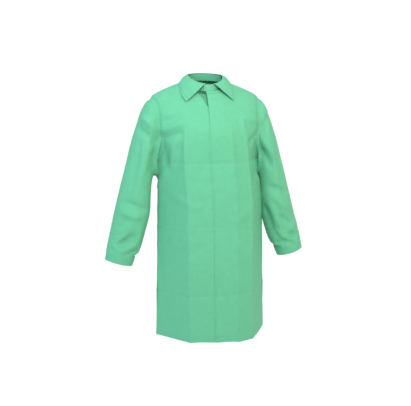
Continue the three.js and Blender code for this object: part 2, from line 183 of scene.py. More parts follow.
def plug(name, rings):
    """A closed solid from a stack of rings."""
    count = len(rings[0])
    points = np.vstack(rings + [rings[0].mean(0), rings[-1].mean(0)])
    faces = []
    for r in range(len(rings) - 1):
        for c in range(count):
            n = (c + 1) % count
            faces.append((r * count + c, r * count + n, (r + 1) * count + n, (r + 1) * count + c))
    first, last, top = len(points) - 2, len(points) - 1, (len(rings) - 1) * count
    for c in range(count):
        n = (c + 1) % count
        faces.append((first, n, c))
        faces.append((last, top + c, top + n))
    mesh = bpy.data.meshes.new(name)
    mesh.from_pydata(points.tolist(), [], faces)
    obj = bpy.data.objects.new(name, mesh)
    bpy.context.scene.collection.objects.link(obj)
    face_out(mesh)
    return obj


def face_out(mesh):
    work = bmesh.new()
    work.from_mesh(mesh)
    bmesh.ops.recalc_face_normals(work, faces=work.faces)
    work.to_mesh(mesh)
    work.free()


def mirror_rings(rings):
    return [ring * (-1, 1, 1) for ring in rings]


def body_rings():
    rings = [body_ring(v, 120) for v in np.linspace(0, TOP, 110)]
    below = [rings[0] - (0, 0, drop) for drop in (0.06, 0.03)]
    above = [rings[-1] + (0, 0, rise) for rise in (0.02, 0.05)]
    return below + rings + above


def sleeve_rings():
    rings = [sleeve_ring(v, 72) for v in np.linspace(0, CUFF, 90)]
    end = rings[-1]
    return rings + [end + FOREARM_DIRECTION * 0.02, end + FOREARM_DIRECTION * 0.04]


def apply_modifiers(obj):
    bpy.context.view_layer.update()
    graph = bpy.context.evaluated_depsgraph_get()
    mesh = bpy.data.meshes.new_from_object(obj.evaluated_get(graph))
    obj.modifiers.clear()
    obj.data = mesh
    return obj


def read_points(mesh):
    points = np.empty(len(mesh.vertices) * 3)
    mesh.vertices.foreach_get("co", points)
    return points.reshape(-1, 3)


def write_points(mesh, points):
    mesh.vertices.foreach_set("co", np.asarray(points, float).ravel())
    mesh.update()


def edges_of(mesh):
    edges = np.empty(len(mesh.edges) * 2, int)
    mesh.edges.foreach_get("vertices", edges)
    return edges.reshape(-1, 2)


def relaxed(points, edges, share, times):
    """Points moved towards the middle of their neighbours, by a share for each point."""
    count = np.zeros(len(points))
    np.add.at(count, edges.ravel(), 1)
    for _ in range(times):
        total = np.zeros_like(points)
        np.add.at(total, edges[:, 0], points[edges[:, 1]])
        np.add.at(total, edges[:, 1], points[edges[:, 0]])
        points = points + (total / count[:, None] - points) * share[:, None]
    return points


# ---- places on the coat, read from its unfolded shape ----

def station_at(z):
    """Half width, half depth and forward distance of the body at heights."""
    places = np.linspace(0, TOP, 400)
    rows = smooth_through(STATIONS, places)
    return [np.interp(z, rows[:, 0], rows[:, k]) for k in (1, 2, 3)]


def body_height(points):
    """The height that an oval of the body has before the neckline's tilt."""
    z = points[:, 2].copy()
    slope = neck_slope(points[:, 1]) * points[:, 1]
    for _ in range(6):
        z = points[:, 2] - smooth_step(z, NECK_TILT_FADES_AT, 0) * slope
    return z


def body_distance(points):
    """Roughly how far points are outside the body's surface."""
    z = body_height(points)
    half_width, half_depth, forward = station_at(z)
    x, y = points[:, 0] / half_width, (points[:, 1] + forward) / half_depth
    radius = np.hypot(x, y)
    return (radius - 1) * np.minimum(half_width, half_depth) * 1.1


def sleeve_distance(points):
    """Roughly how far points are outside the left sleeve's surface."""
    rows = smooth_through(SLEEVE, np.linspace(0, CUFF, 160))
    outer, inner = rows[:, 0:2], rows[:, 2:4]
    reach = outer - inner
    length = np.linalg.norm(reach, axis=1)
    along = reach / length[:, None]
    normal = np.stack([-along[:, 1], along[:, 0]], axis=1)
    normal *= np.where(normal[:, 1:2] > 0, -1, 1)
    middle = (outer + inner) / 2
    flat = points[:, (0, 2)]
    ahead = flat @ normal.T - (middle * normal).sum(1)
    rank = np.argmin(np.abs(ahead), axis=1)
    offset = flat - middle[rank]
    a = (offset * along[rank]).sum(1) / (length[rank] / 2)
    b = (points[:, 1] + rows[rank, 5]) / rows[rank, 4]
    small = np.minimum(length[rank] / 2, rows[rank, 4])
    return (np.hypot(a, b) - 1) * small


def armhole_field(points):
    """Positive on either sleeve, negative on the body, 0 along the armhole seams."""
    folded = points.copy()
    folded[:, 0] = np.abs(folded[:, 0])
    near = np.where((folded[:, 0] > 0.14) & (folded[:, 2] < -0.045))[0]
    field = np.full(len(points), -0.1)
    field[near] = body_distance(folded[near]) - sleeve_distance(folded[near])
    return field


# ---- building and hanging the cloth ----

def union_surface():
    """The body and both sleeves as one closed surface of even cells."""
    parts = [
        plug("body_form", body_rings()),
        plug("left_form", sleeve_rings()),
        plug("right_form", mirror_rings(sleeve_rings())),
    ]
    points, faces, start = [], [], 0
    for part in parts:
        points.append(read_points(part.data))
        faces += [[start + i for i in p.vertices] for p in part.data.polygons]
        start += len(part.data.vertices)
        bpy.data.objects.remove(part)
    mesh = bpy.data.meshes.new("coat_form")
    mesh.from_pydata(np.vstack(points).tolist(), [], faces)
    obj = bpy.data.objects.new("coat_form", mesh)
    bpy.context.scene.collection.objects.link(obj)
    remesh = obj.modifiers.new("remesh", "REMESH")
    remesh.mode = "VOXEL"
    remesh.voxel_size = VOXEL
    apply_modifiers(obj)
    return obj


def open_ends(obj):
    """Removes the caps past the hem, the neckline and the cuffs, with a margin left to trim."""
    work = bmesh.new()
    work.from_mesh(obj.data)
    points = np.array([v.co for v in work.verts])
    keep = end_fields(points) > -END_MARGIN
    bmesh.ops.delete(work, geom=[v for v, k in zip(work.verts, keep) if not k], context="VERTS")
    loose = [v for v in work.verts if not v.link_faces]
    bmesh.ops.delete(work, geom=loose, context="VERTS")
    work.to_mesh(obj.data)
    work.free()


def cuff_field(points):
    """Distance short of the end of the nearer cuff, large away from the sleeves."""
    ox, oz, ix, iz = SLEEVE[-1, :4]
    along = np.array((ox - ix, oz - iz))
    normal = np.array((along[1], -along[0])) / np.linalg.norm(along)
    flat = np.stack([np.abs(points[:, 0]), points[:, 2]], axis=1)
    short = ((flat - (ox, oz)) @ normal) * np.sign(normal[1])
    on_sleeve = (flat[:, 0] > 0.255) & (points[:, 2] < -0.5)
    return np.where(on_sleeve, short, 1.0)


def neck_field(points):
    near = np.hypot(points[:, 0], points[:, 1]) < 0.12
    return np.where(near, neck_slope(points[:, 1]) * points[:, 1] - points[:, 2], 1.0)


def end_fields(points):
    hem = points[:, 2] - HEM_Z
    return np.minimum(np.minimum(hem, neck_field(points)), cuff_field(points))


def with_creases(points):
    """The body's rounded front and back flattened between the upright creases."""
    half_width, half_depth, forward = station_at(body_height(points))
    out = points.copy()
    x, y = points[:, 0], points[:, 1] + forward
    on_body = smooth_step(-armhole_field(points), 0.0, 0.03)
    fade = smooth_step(points[:, 2], -0.15, -0.30) * on_body

    def oval(place):
        return half_depth * np.sqrt(np.clip(1 - (place / half_width) ** 2, 0, 1))

    for side, corners in ((-1, FRONT_CREASES), (1, BACK_CREASES)):
        places = [-half_width] + [np.full(len(x), c) for c in corners] + [half_width]
        flat = oval(x)
        for a, b in zip(places[:-1], places[1:]):
            inside = (x >= a) & (x <= b)
            t = (x - a) / (b - a)
            flat = np.where(inside, oval(a) * (1 - t) + oval(b) * t, flat)
        change = side * (flat - oval(x)) * CREASE_FLATNESS * fade
        out[:, 1] += np.where(np.sign(y) == side, change, 0)
    # The panels between the level creases stand a little proud of them.
    edges = (0.10,) + tuple(-c for c in LEVEL_CREASES) + (-HEM_Z + 0.2,)
    depth = -points[:, 2]
    puff = np.zeros(len(x))
    for a, b in zip(edges[:-1], edges[1:]):
        t = np.clip((depth - a) / (b - a), 0, 1)
        puff += np.where((depth >= a) & (depth < b), np.sin(np.pi * t) ** 0.7, 0)
    out[:, 1] += np.sign(y) * PANEL_PUFF * (puff - 0.5) * fade
    return out


def collider(name, rings):
    obj = plug(name, rings)
    obj.modifiers.new("collision", "COLLISION")
    obj.collision.thickness_outer = 0.002
    obj.collision.cloth_friction = 8
    return obj


def wearer():
    """The hidden torso and arms that the coat hangs on."""
    rings = []
    for v in np.linspace(0, TOP, 60):
        z, half_width, half_depth, forward = smooth_through(STATIONS, v)[0]
        low = float(smooth_step(z, -0.18, -0.34))
        room = 0.004 + 0.034 * low
        ring = body_ring(v, 64)
        middle = np.array((0, -forward + 0.004 * low, ring[:, 2].mean()))
        scale = np.array((1 - room / half_width, 1 - room / half_depth, 1))
        rings.append(middle + (ring - middle) * scale - (0, 0, 0.003))
    parts = [collider("wearer_body", [rings[0] - (0, 0, 0.1)] + rings + [rings[-1] + (0, 0, 0.06)])]
    arm = []
    for v in np.linspace(0, CUFF, 60):
        ring = sleeve_ring(v, 40)
        middle = ring.mean(0)
        outward = (ring[0] - middle) / np.linalg.norm(ring[0] - middle)
        size = float(np.interp(v, (0, 1.5, 4, 7, CUFF), (0.80, 0.88, 0.62, 0.58, 0.62)))
        shift = (1 - size) * np.linalg.norm(ring[0] - middle) - 0.005
        arm.append(middle + (ring - middle) * size + outward * shift)
    arm.append(arm[-1] + FOREARM_DIRECTION * 0.08)
    parts.append(collider("wearer_left_arm", arm))
    parts.append(collider("wearer_right_arm", mirror_rings(arm)))
    return parts


def pin_weights(points):
    """How firmly each point of the cloth is held while it hangs."""
    neck = smooth_step(neck_field(points), 0.030, 0.004)
    cuffs = smooth_step(cuff_field(points), 0.055, 0.012) * 0.9
    body = smooth_step(-armhole_field(points), -0.01, 0.03)
    panels = (0.16 + 0.14 * smooth_step(points[:, 2], -0.30, -0.60)) * body
    lap = np.exp(-(points[:, 0] / 0.03) ** 2) * (points[:, 1] < 0) * 0.30
    return np.clip(np.maximum.reduce([neck, cuffs, lap, panels, np.full(len(points), 0.03)]), 0, 1)


def hang(obj, frames=24):
    """Lets the coat settle on its wearer under its own weight."""
    scene = bpy.context.scene
    points = read_points(obj.data)
    pins = obj.vertex_groups.new(name="pins")
    for i, weight in enumerate(pin_weights(points)):
        pins.add([i], float(weight), "REPLACE")
    cloth = obj.modifiers.new("cloth", "CLOTH")
    s = cloth.settings
    s.quality = 5
    s.mass = 0.12
    s.tension_stiffness = 18
    s.compression_stiffness = 14
    s.shear_stiffness = 8
    s.bending_stiffness = 10.0
    s.bending_damping = 1.0
    s.air_damping = 2.0
    s.vertex_group_mass = "pins"
    s.pin_stiffness = 1.0
    s.shrink_min = -0.005
    cloth.collision_settings.use_self_collision = False
    cloth.collision_settings.distance_min = 0.003
    parts = wearer()
    cloth.point_cache.frame_start = 1
    cloth.point_cache.frame_end = frames
    for f in range(1, frames + 1):
        scene.frame_set(f)
    apply_modifiers(obj)
    obj.vertex_groups.clear()
    for part in parts:
        bpy.data.objects.remove(part)
    scene.frame_set(1)


# ---- cutting the cloth into its pieces ----

class Cloth:
    """Triangles with, for each point, its unfolded place, its hung place and its normal."""

    def __init__(self, data, faces):
        self.data, self.faces = data, faces

    rest = property(lambda self: self.data[:, 0:3])
    place = property(lambda self: self.data[:, 3:6])
    normal = property(lambda self: self.data[:, 6:9])

    def copy(self):
        return Cloth(self.data.copy(), self.faces.copy())

    def compact(self):
        used = np.unique(self.faces)
        index = np.full(len(self.data), -1)
        index[used] = np.arange(len(used))
        return Cloth(self.data[used], index[self.faces])

    def trimmed(self, field):
        """The part where a value, given for each point, is positive, cut cleanly at 0."""
        f = np.where(np.abs(field) < 1e-7, 1e-7, field)
        inside = f[self.faces] > 0
        count = inside.sum(1)
        whole = self.faces[count == 3]
        new_data, new_faces, made = [], [], {}
        base = len(self.data)

        def crossing(a, b):
            key = (a, b) if a < b else (b, a)
            if key not in made:
                t = f[key[0]] / (f[key[0]] - f[key[1]])
                new_data.append(self.data[key[0]] * (1 - t) + self.data[key[1]] * t)
                made[key] = base + len(new_data) - 1
            return made[key]

        for tri in self.faces[(count == 1) | (count == 2)]:
            signs = f[tri] > 0
            if signs.sum() == 1:
                k = int(np.argmax(signs))
                a, b, c = tri[k], tri[(k + 1) % 3], tri[(k + 2) % 3]
                new_faces.append((a, crossing(a, b), crossing(a, c)))
            else:
                k = int(np.argmin(signs))
                a, b, c = tri[k], tri[(k + 1) % 3], tri[(k + 2) % 3]
                p, q = crossing(a, b), crossing(a, c)
                new_faces.append((p, b, c))
                new_faces.append((p, c, q))
        data = np.vstack([self.data] + ([np.array(new_data)] if new_data else []))
        faces = np.vstack([whole] + ([np.array(new_faces)] if new_faces else []))
        return Cloth(data, faces).compact()

    def trimmed_above(self, z):
        return self.trimmed(self.rest[:, 2] - z)

    def moved(self, offset):
        out = self.copy()
        out.data[:, 3:6] += self.normal * np.asarray(offset).reshape(-1, 1)
        return out


def triangle_normals(points, faces):
    a, b, c = (points[faces[:, k]] for k in range(3))
    return np.cross(b - a, c - a)


def point_normals(points, faces):
    flat = triangle_normals(points, faces)
    total = np.zeros_like(points)
    for k in range(3):
        np.add.at(total, faces[:, k], flat)
    return total / np.maximum(np.linalg.norm(total, axis=1, keepdims=True), 1e-12)


def boundary_edges(faces):
    """Edges with a face on one side only, in that face's direction."""
    edges = np.vstack([faces[:, (0, 1)], faces[:, (1, 2)], faces[:, (2, 0)]])
    size = faces.max() + 1
    code = edges[:, 0] * size + edges[:, 1]
    back = edges[:, 1] * size + edges[:, 0]
    return edges[~np.isin(code, back)]


def add_object(name, points, faces, loop_normals=None):
    mesh = bpy.data.meshes.new(name)
    points = np.asarray(points, float)
    mesh.from_pydata(points.tolist(), [], [tuple(int(i) for i in f) for f in faces])
    mesh.shade_smooth()
    if loop_normals is not None:
        mesh.normals_split_custom_set(loop_normals)
    obj = bpy.data.objects.new(name, mesh)
    bpy.context.scene.collection.objects.link(obj)
    return obj


def shell(cloth, thickness, start):
    """Points, faces and corner normals of a closed body with its outer side on the hung cloth."""
    n = len(cloth.data)
    points = np.vstack([cloth.place, cloth.place - cloth.normal * thickness])
    rim = boundary_edges(cloth.faces)
    faces = [tuple(f + start) for f in cloth.faces]
    faces += [tuple(f[::-1] + n + start) for f in cloth.faces]
    faces += [(b + start, a + start, a + n + start, b + n + start) for a, b in rim]
    top = cloth.normal[cloth.faces].reshape(-1, 3)
    low = -cloth.normal[cloth.faces[:, ::-1]].reshape(-1, 3)
    a = points[rim[:, 0]]
    side = np.cross(a - points[rim[:, 1]], points[rim[:, 0] + n] - a)
    side /= np.maximum(np.linalg.norm(side, axis=1, keepdims=True), 1e-12)
    return points, faces, np.vstack([top, low, np.repeat(side, 4, axis=0)])


def write_stitch_distance(obj, values):
    attribute = obj.data.attributes.new("stitch_distance", "FLOAT", "POINT")
    attribute.data.foreach_set("value", values.astype(np.float32))


def cloth_piece(name, layers):
    """One piece of cloth, of one or more layers, that holds its points' distance from a stitch row."""
    points, faces, normals, rows, start = [], [], [], [], 0
    for cloth, thickness in layers:
        p, f, n = shell(cloth, thickness, start)
        points.append(p)
        faces += f
        normals.append(n)
        rows.append(np.tile(stitch_distance(cloth.rest), 2))
        start += len(p)
    obj = add_object(name, np.vstack(points), faces, np.vstack(normals).tolist())
    write_stitch_distance(obj, np.concatenate(rows))
    return obj


def stitch_distance(rest):
    """Distance from the nearest row of stitches, in the cloth's unfolded shape."""
    armhole = np.abs(armhole_field(rest))
    rows = [
        np.abs(rest[:, 2] - HEM_Z - HEM_WIDTH),
        np.abs(cuff_field(rest) - CUFF_HEM),
        np.abs(armhole - STITCH_INSET),
        np.abs(np.abs(side_of(rest)) - STITCH_INSET),
        np.abs(neck_field(rest) - STITCH_INSET),
        np.abs(np.abs(rest[:, 0] + LAP) - STITCH_INSET) + 0.1 * (rest[:, 1] > 0),
    ]
    return np.minimum.reduce(rows)


def flat_area(cloth):
    flat = triangle_normals(cloth.rest, cloth.faces)
    return float(np.linalg.norm(flat, axis=1).sum() / 2)


def hung_cloth():
    """The whole coat's cloth, creased, hung and folded, with its unfolded shape kept beside it."""
    form = union_surface()
    open_ends(form)
    points = read_points(form.data)
    edges = edges_of(form.data)
    seam = np.exp(-(armhole_field(points) / 0.02) ** 2)
    points = relaxed(points, edges, 0.25 + 0.25 * seam, 3)
    armpit = np.exp(-(armhole_field(points) / 0.035) ** 2)
    armpit *= smooth_step(points[:, 2], -0.24, -0.29) * smooth_step(points[:, 2], -0.42, -0.37)
    points = relaxed(points, edges, 0.5 * armpit, 10)
    rest = points.copy()
    creased = with_creases(points)
    write_points(form.data, creased)
    hang(form)
    hung = read_points(form.data)
    smooth = smooth_step(rest[:, 2], -0.34, -0.46) * smooth_step(-armhole_field(rest), 0.0, 0.03)
    hung = creased + relaxed(hung - creased, edges, 0.5 * smooth, 18)

    def finer(values):
        write_points(form.data, values)
        copy = form.copy()
        copy.data = form.data.copy()
        bpy.context.scene.collection.objects.link(copy)
        level = copy.modifiers.new("subdivide", "SUBSURF")
        level.levels = 1
        level.render_levels = 1
        apply_modifiers(copy)
        out = read_points(copy.data)
        faces = [tuple(p.vertices) for p in copy.data.polygons]
        bpy.data.objects.remove(copy)
        return out, faces

    rest, quads = finer(rest)
    hung, _ = finer(hung)
    bpy.data.objects.remove(form)
    triangles = []
    for q in quads:
        triangles.append((q[0], q[1], q[2]))
        if len(q) == 4:
            triangles.append((q[0], q[2], q[3]))
    triangles = np.array(triangles)
    hung = hung + fine_detail(rest, hung, triangles) + lean(rest)
    normals = point_normals(hung, triangles)
    return Cloth(np.hstack([rest, hung, normals]), triangles)


# Folds in the cloth, each from one place to another seen from the front, with a width and height.
FOLD_STRENGTH = 1.35
BODY_FOLDS = [
    (-0.200, -0.176, -0.108, -0.140, 0.014, 0.0055),
    (-0.178, -0.142, -0.126, -0.122, 0.013, -0.0050),
    (-0.190, -0.192, -0.170, -0.330, 0.013, -0.0060),
    (-0.186, -0.205, -0.125, -0.182, 0.013, -0.0050),
    (-0.120, -0.176, -0.137, -0.255, 0.010, -0.0035),
    (0.195, -0.150, 0.120, -0.125, 0.016, 0.0035),
    (0.196, -0.190, 0.135, -0.235, 0.014, -0.0045),
    (0.113, -0.125, 0.128, -0.230, 0.010, 0.0030),
    (0.188, -0.230, 0.175, -0.360, 0.015, -0.0050),
    (0.050, -0.120, 0.105, -0.150, 0.014, -0.0018),
    (-0.160, -0.420, -0.080, -0.470, 0.016, 0.0022),
    (0.150, -0.450, 0.070, -0.520, 0.018, 0.0022),
    (-0.150, -0.650, -0.060, -0.610, 0.018, -0.0020),
    (0.060, -0.700, 0.140, -0.760, 0.018, -0.0020),
]
SLEEVE_FOLDS = [
    (-0.263, -0.118, -0.200, -0.182, 0.013, 0.0055),
    (-0.275, -0.160, -0.212, -0.225, 0.014, -0.0055),
    (-0.225, -0.250, -0.245, -0.340, 0.013, -0.0050),
    (-0.330, -0.440, -0.262, -0.470, 0.013, -0.0055),
    (-0.345, -0.480, -0.280, -0.500, 0.012, 0.0050),
    (-0.300, -0.560, -0.350, -0.600, 0.014, -0.0045),
    (-0.310, -0.640, -0.370, -0.615, 0.014, 0.0040),
    (0.200, -0.195, 0.268, -0.283, 0.014, 0.0055),
    (0.214, -0.250, 0.262, -0.330, 0.013, -0.0060),
    (0.250, -0.120, 0.212, -0.175, 0.013, -0.0045),
    (0.255, -0.400, 0.330, -0.430, 0.013, -0.0055),
    (0.262, -0.440, 0.336, -0.500, 0.014, 0.0055),
    (0.290, -0.520, 0.352, -0.560, 0.013, -0.0055),
    (0.320, -0.600, 0.372, -0.560, 0.013, 0.0045),
    (0.310, -0.620, 0.360, -0.655, 0.012, -0.0040),
    (0.252, -0.460, 0.324, -0.625, 0.013, 0.0050),
    (0.236, -0.480, 0.295, -0.615, 0.016, -0.0075),
]


def lean(rest):
    """The skirt hangs a little to the wearer's left, and its hem dips a little at the front."""
    x, y, z = rest.T
    body = smooth_step(-armhole_field(rest), 0, 0.01)
    out = np.zeros_like(rest)
    widening = SKIRT_WIDENING * x / 0.21
    out[:, 0] = smooth_step(z, -0.20, -0.50) * body * (SKIRT_SHIFT + widening)
    hem = smooth_step(z, -0.75, -0.98) * smooth_step(-y, 0.02, 0.08) * body
    dip = smooth_step(x, 0.02, 0.09) * smooth_step(x, 0.215, 0.150)
    out[:, 2] = hem * (HEM_RISE * smooth_step(-x, 0.02, 0.09) - HEM_DIP * dip)
    return out


def fold_height(rest, folds):
    """How far the listed folds lift the front of the cloth."""
    flat = rest[:, (0, 2)]
    lift = np.zeros(len(rest))
    for x1, z1, x2, z2, width, height in folds:
        start, along = np.array((x1, z1)), np.array((x2 - x1, z2 - z1))
        t = np.clip(((flat - start) @ along) / (along @ along), -0.25, 1.25)
        away = np.linalg.norm(flat - start - np.outer(t, along), axis=1)
        ends = smooth_step(t, -0.25, 0.25) * smooth_step(t, 1.25, 0.75)
        lift += height * ends * np.exp(-(away / width) ** 2)
    return lift


# The wearer's right front sinks in a small hollow beside the top of the upper front.
HOLLOW_EDGE = ((-0.047, -0.030), (-0.0145, -0.088))
HOLLOW_DEPTH = 0.017


def hollow_depth(rest):
    a, b = (np.array(p) for p in HOLLOW_EDGE)
    edge = (b - a) / np.linalg.norm(b - a)
    deep = (rest[:, (0, 2)] - a) @ np.array((-edge[1], edge[0]))
    low = smooth_step(rest[:, 2], -0.096, -0.070)
    return HOLLOW_DEPTH * smooth_step(deep, -0.001, 0.004) * low * (rest[:, 1] < 0)


def lap_edge(z):
    """How far the upper front reaches past the centre: less beside the hollow at the neck."""
    return LAP + (LAP_AT_NECK - LAP) * smooth_step(z, -0.200, -0.090)


def ridge(away, height, width):
    return height * np.exp(-np.abs(away) / width)


def fine_detail(rest, hung, triangles):
    """Sharp packing creases and the faint crumple of a cloth that was folded small."""
    normals = point_normals(hung, triangles)
    x, z = rest[:, 0], rest[:, 2]
    body = smooth_step(-armhole_field(rest), 0.0, 0.02)
    low = smooth_step(z, -0.14, -0.22)
    lift = np.zeros(len(rest))
    for creases, side in ((FRONT_CREASES, rest[:, 1] < 0), (BACK_CREASES, rest[:, 1] > 0)):
        for c in creases:
            lift += ridge(x - c, **UPRIGHT_CREASE) * body * low * side
    for k, c in enumerate(LEVEL_CREASES):
        sign = 1 if k % 2 else -1
        lift += sign * ridge(z - c, **LEVEL_CREASE) * body
    wide, fine = rest * (9, 9, 6), rest * (23, 23, 17)
    crumple = np.array([
        noise.noise(Vector(w)) * 0.6 + noise.noise(Vector(f)) * 0.3 for w, f in zip(wide, fine)
    ])
    arm = smooth_step(armhole_field(rest), -0.004, 0.012)
    facing = smooth_step(-normals[:, 1], 0.05, 0.5)
    lift += FOLD_STRENGTH * fold_height(rest, BODY_FOLDS) * facing * (1 - arm)
    lift += FOLD_STRENGTH * fold_height(rest, SLEEVE_FOLDS) * facing * arm
    lift -= SEAM_DIP["height"] * np.exp(-(armhole_field(rest) / SEAM_DIP["width"]) ** 2)
    return normals * (lift + CRUMPLE * crumple)[:, None]


def side_of(rest):
    """Positive in front of the side seams, which run over the shoulders to the neck."""
    _, _, forward = station_at(body_height(rest))
    return -(rest[:, 1] + forward)


def coat_pieces(cloth):
    """The cloth cut along its seams, with the fronts lapped and the patches between them."""
    cloth = cloth.trimmed(end_fields(cloth.rest))
    pieces = {}
    arms = cloth.trimmed(armhole_field(cloth.rest))
    body = cloth.trimmed(-armhole_field(cloth.rest))
    pieces["back_cloth"] = body.trimmed(-side_of(body.rest))
    front = body.trimmed(side_of(body.rest))
    upper = front.trimmed(front.rest[:, 0] + lap_edge(front.rest[:, 2]))
    lift = LAP_LIFT * (1 - smooth_step(upper.rest[:, 0], LAP, LAP + LAP_RAMP))
    past = upper.rest[:, 0] + lap_edge(upper.rest[:, 2])
    below_hollow = smooth_step(upper.rest[:, 2], -0.100, -0.170)
    pressed = smooth_step(past, PRESSED_WIDTH, 0.0) * below_hollow
    lift = lift - (LAP_LIFT - EDGE_LIFT) * pressed
    pieces["front_left_cloth"] = upper.moved(lift)
    under = front.trimmed(LAP - front.rest[:, 0])
    pieces["front_right_cloth"] = under.moved(-hollow_depth(under.rest))
    for row, z in enumerate(TAPE_ROWS, 1):
        patch = front.trimmed(TAPE_WIDTH / 2 - np.abs(front.rest[:, 0]))
        patch = patch.trimmed(TAPE_HEIGHT / 2 - np.abs(patch.rest[:, 2] - z))
        pieces[f"hook_patch_{row}_tape"] = patch.moved(TAPE_THICKNESS + TAPE_GAP)
        pieces[f"loop_patch_{row}_tape"] = patch.moved(LAP_LIFT - THICKNESS - TAPE_GAP)
    for side, sign in (("left", 1), ("right", -1)):
        arm = arms.trimmed(sign * arms.rest[:, 0])
        mirrored = arm.rest * (sign, 1, 1)
        ring = (mirrored - SLEEVE_SPLIT) @ ARM_DIRECTION
        pieces[f"sleeve_{side}_upper_cloth"] = arm.trimmed(-ring)
        pieces[f"sleeve_{side}_lower_cloth"] = arm.trimmed(ring)
    return pieces


def turnings(name, piece):
    """The parts of a piece that are turned in at its hem, its front edge or its cuff."""
    inner = piece.moved(-THICKNESS - LAYER_GAP)
    x, _, z = inner.rest.T
    if "lower" in name:
        return [inner.trimmed(CUFF_TURNING - cuff_field(inner.rest))]
    if "sleeve" in name:
        return []
    parts = [inner.trimmed(HEM_Z + HEM_WIDTH + TURNING_PAST_STITCHES - z)]
    if name == "front_left_cloth":
        parts.append(inner.trimmed(FACING - LAP - x).trimmed_above(FACING_END))
    if name == "front_right_cloth":
        parts.append(inner.trimmed(x - LAP + FACING).trimmed_above(FACING_END))
    return parts


# ---- collar ----

STAND_HEIGHT = 0.024
STAND_LEAN = 0.003
STAND_RISE = 0.001      # the stand's seam above the neckline
STAND_LAP = 0.020       # how far each end of the stand reaches past the centre
LEAF_FRONT = math.radians(13)
LEAF_POINT = math.radians(32)
LEAF_SPREAD = 0.040
LEAF_POINT_SPREAD = 0.060
LEAF_BACK_SPREAD = 0.017
FOLD_OUT, FOLD_RISE = 0.0045, 0.002     # where the leaf folds, from the stand's top edge
LEAF_CLEARANCE = 0.0022


def neck_point(u):
    y = -NECK_HALF_DEPTH * math.cos(u)
    slope = FRONT_NECK_SLOPE if y < 0 else BACK_NECK_SLOPE
    return np.array((NECK_HALF_WIDTH * math.sin(u), y, slope * y))


def out_from(u):
    return np.array((math.sin(u), -math.cos(u), 0.0))


def grid_piece(name, grid, thickness):
    """A closed sheet from a grid of points on its outer side."""
    grid = np.asarray(grid)
    rows, columns = grid.shape[:2]
    points = grid.reshape(-1, 3)
    faces = []
    for r in range(rows - 1):
        for c in range(columns - 1):
            i = r * columns + c
            faces.append((i, i + 1, i + columns + 1))
            faces.append((i, i + columns + 1, i + columns))
    faces = np.array(faces)
    normals = point_normals(points, faces)
    cloth = Cloth(np.hstack([points, points, normals]), faces)
    points, faces, corner_normals = shell(cloth, thickness, 0)
    obj = add_object(name, points, faces, corner_normals.tolist())
    rows_from_edge = np.minimum(np.arange(rows), np.arange(rows)[::-1])
    row_width = np.linalg.norm(grid[0] - grid[-1], axis=1).mean() / (rows - 1)
    away = np.repeat(np.abs(rows_from_edge * row_width - COLLAR_STITCH_INSET), columns)
    write_stitch_distance(obj, np.tile(away, 2))
    return obj, cloth


def collar_stand_grid():
    past_centre = math.asin(STAND_LAP / NECK_HALF_WIDTH)
    rows = []
    for v in np.linspace(-0.12, 1, 9):
        row = []
        for u in np.linspace(-past_centre, 2 * math.pi + past_centre, 150):
            lift = 0.0040 * (1 - smooth_step(math.degrees(u), 0, 60)) + 0.0012
            point = neck_point(u) + out_from(u) * (lift - STAND_LEAN * v)
            point[2] += STAND_RISE + STAND_HEIGHT * v
            row.append(point)
        rows.append(row)
    return rows[::-1]


def edge_place(u, spread):
    """The place along the body's ovals that is a level distance out from the neckline."""
    places = np.linspace(TOP - 3.2, TOP, 120)
    points = body_points(np.full(120, u), places)
    out = np.hypot(points[:, 0], points[:, 1]) - np.linalg.norm(neck_point(u)[:2])
    return float(np.interp(spread, out[::-1], places[::-1]))


def leaf_rib(u, v, side):
    """Points of the leaf at one angle, from its fold, v = 0, to its edge, v = 1."""
    angle = math.degrees(u)
    pointed = 1 - smooth_step(u, LEAF_POINT, math.radians(82))
    spread = LEAF_SPREAD + (LEAF_POINT_SPREAD - LEAF_SPREAD) * pointed
    spread += (LEAF_BACK_SPREAD - LEAF_SPREAD) * smooth_step(angle, 95, 150)
    fold = neck_point(u) + out_from(u) * FOLD_OUT
    fold[2] += STAND_RISE + STAND_HEIGHT + FOLD_RISE
    place = edge_place(u, spread)
    edge = body_points(np.array([u]), np.array([place]))[0]
    lap = LAP_LIFT * (1 - smooth_step(edge[0] * side, LAP, LAP + LAP_RAMP)) * (edge[1] < 0)
    edge = edge + out_from(u) * (0.0020 + lap) + (0, 0, 0.0012)
    bend = fold + out_from(u) * 0.013 + (0, 0, 0.001)
    v = v[:, None]
    points = fold * (1 - v) ** 2 + bend * 2 * v * (1 - v) + edge * v ** 2
    # Where the leaf would sink into the body, it is pushed out and up.
    push = np.clip(LEAF_CLEARANCE + lap - body_distance(points), 0, 0.03)[:, None]
    points = points + (out_from(u) + (0, 0, 0.8)) * push * 0.8
    wave = np.array([
        noise.noise(Vector((u * 2.6 + side * 7, t * 1.6, side * 3.1))) for t in v[:, 0]
    ])
    wave = wave * np.minimum(v[:, 0] * 2, 1) * (1 - smooth_step(angle, 120, 170))
    return points + np.outer(np.abs(wave), out_from(u)) * 0.003


def leaf_grid(side):
    """One half of the turned-down leaf, from its front end round to the centre back."""
    columns, rows = 100, 26
    v = np.linspace(0, 1, rows)
    grid = np.zeros((rows, columns, 3))
    for r in range(rows):
        start = LEAF_FRONT + (LEAF_POINT - LEAF_FRONT) * v[r]
        for c, u in enumerate(np.linspace(start, math.pi, columns)):
            grid[r, c] = leaf_rib(u, v[r:r + 1], side)[0]
    grid[:, :, 0] *= side
    return grid if side < 0 else grid[:, ::-1]


# ---- materials ----

WEAVE_DEPTH = 0.0006
STITCH_HALF_WIDTH = (0.0004, 0.0013)    # of a row of stitches: its dark middle and its faded edge
STITCH_SHADE = 0.85
MOTTLE_SCALE = 45
MOTTLE = 0.07


